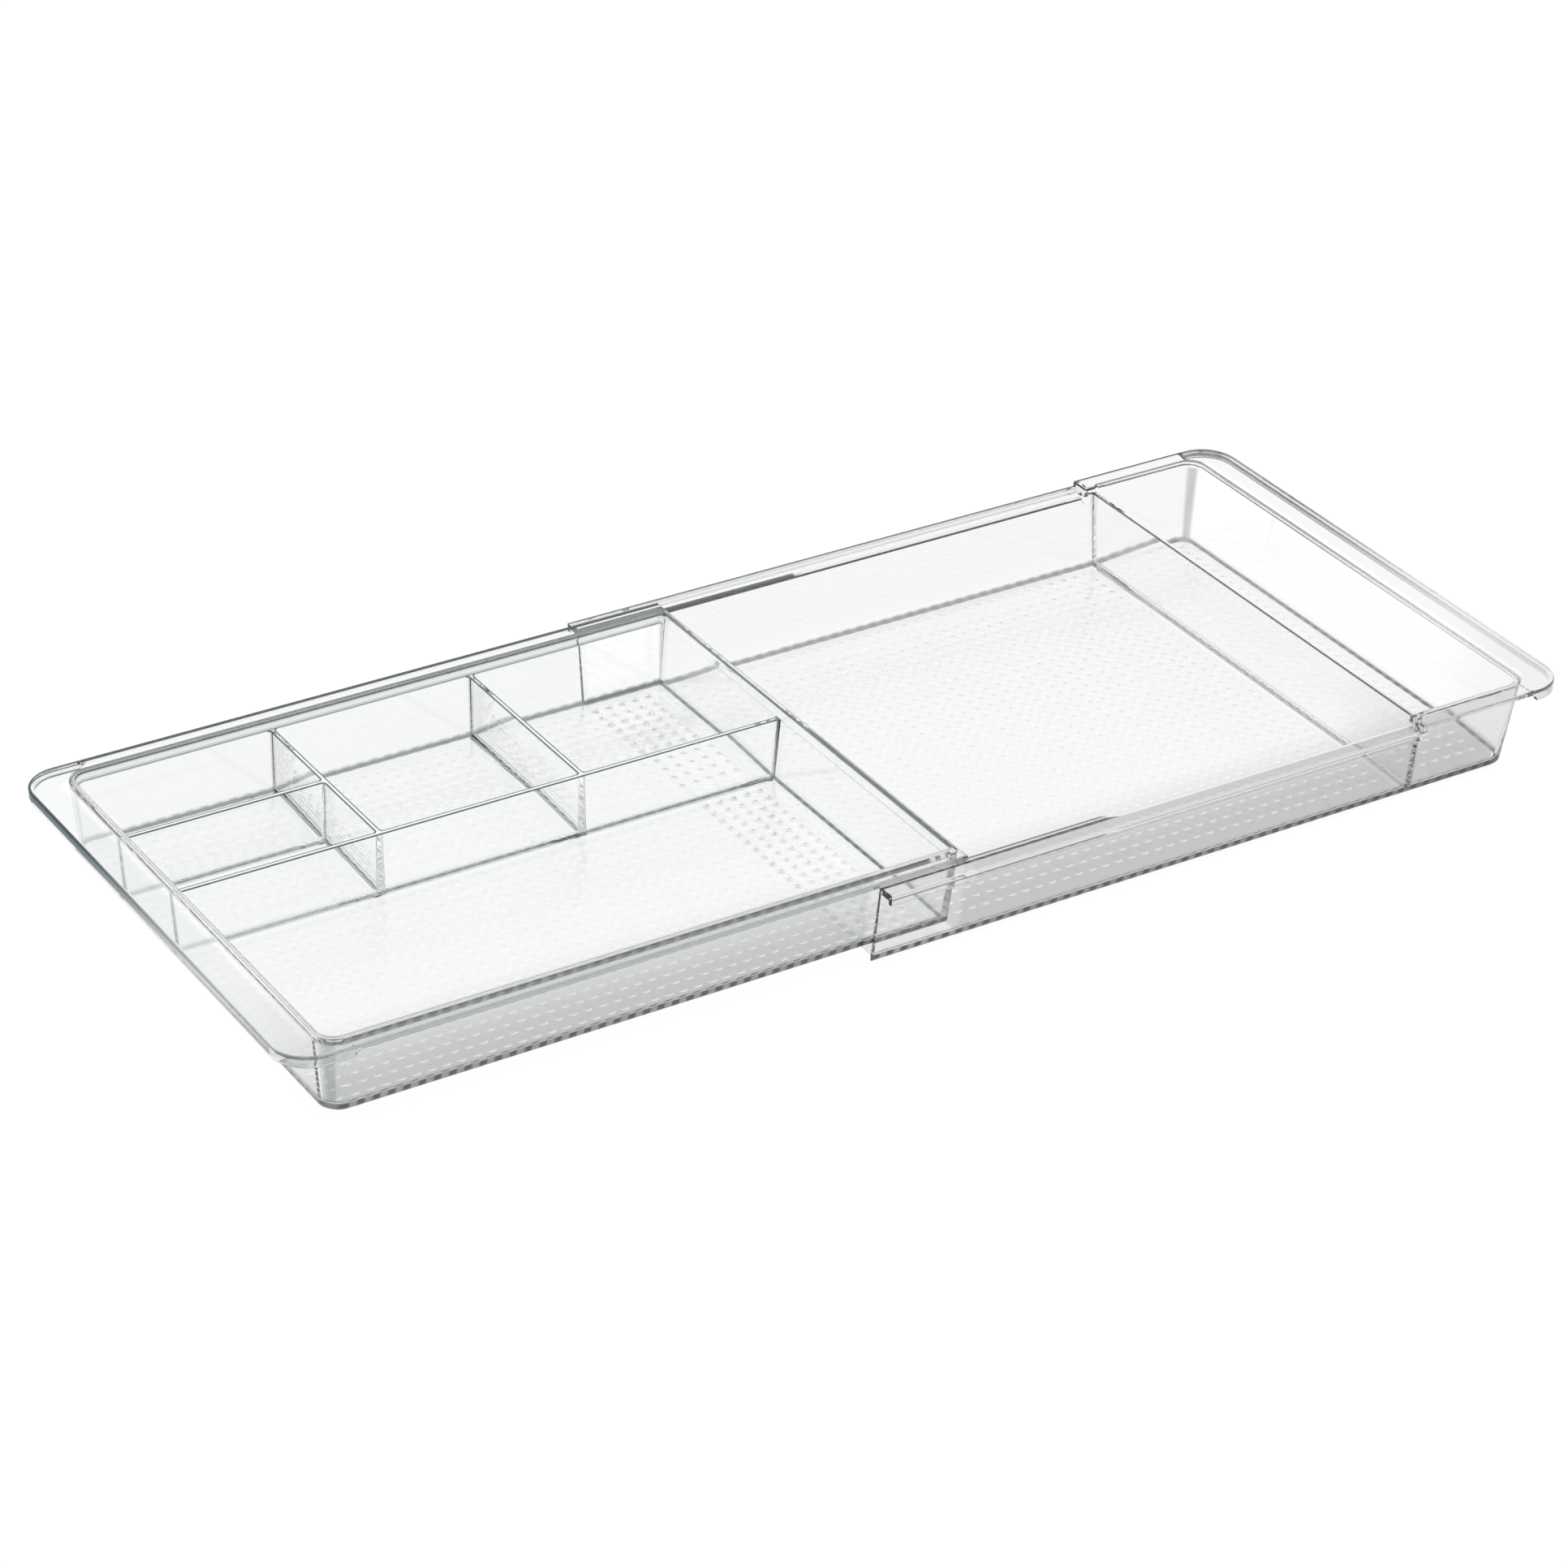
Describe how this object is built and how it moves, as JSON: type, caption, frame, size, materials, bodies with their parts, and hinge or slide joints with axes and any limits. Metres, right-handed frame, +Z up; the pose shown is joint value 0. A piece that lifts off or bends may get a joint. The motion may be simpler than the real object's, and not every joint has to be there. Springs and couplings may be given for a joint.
{
  "type": "drawer organizer insert",
  "caption": "Expanding clear plastic drawer organizer: a tray with compartments slides lengthwise in a wider outer tray, so the insert fills the drawer's width.",
  "frame": {"origin": "bottom centre of the bounding box, with the organizer extended as at rest; the drawer floor is z = 0", "axes": "+X along the length towards the outer tray's closed end, +Y from the front long side to the back long side, +Z up"},
  "size_m": [0.483, 0.2062, 0.0321],
  "materials": {
    "outer_clear_plastic": "clear, colourless, high gloss, dimpled floor",
    "inner_clear_plastic": "clear, high gloss, faint blue-green edge tint, dimpled floor"
  },
  "bodies": {
    "outer": {"outer_tray": "outer_clear_plastic"},
    "inner": {"inner_tray": "inner_clear_plastic"}
  },
  "joints": [
    {"name": "tray_slide", "type": "slide", "parent": "outer", "child": "inner", "axis": [1, 0, 0], "range_m": [0, 0.178]}
  ]
}
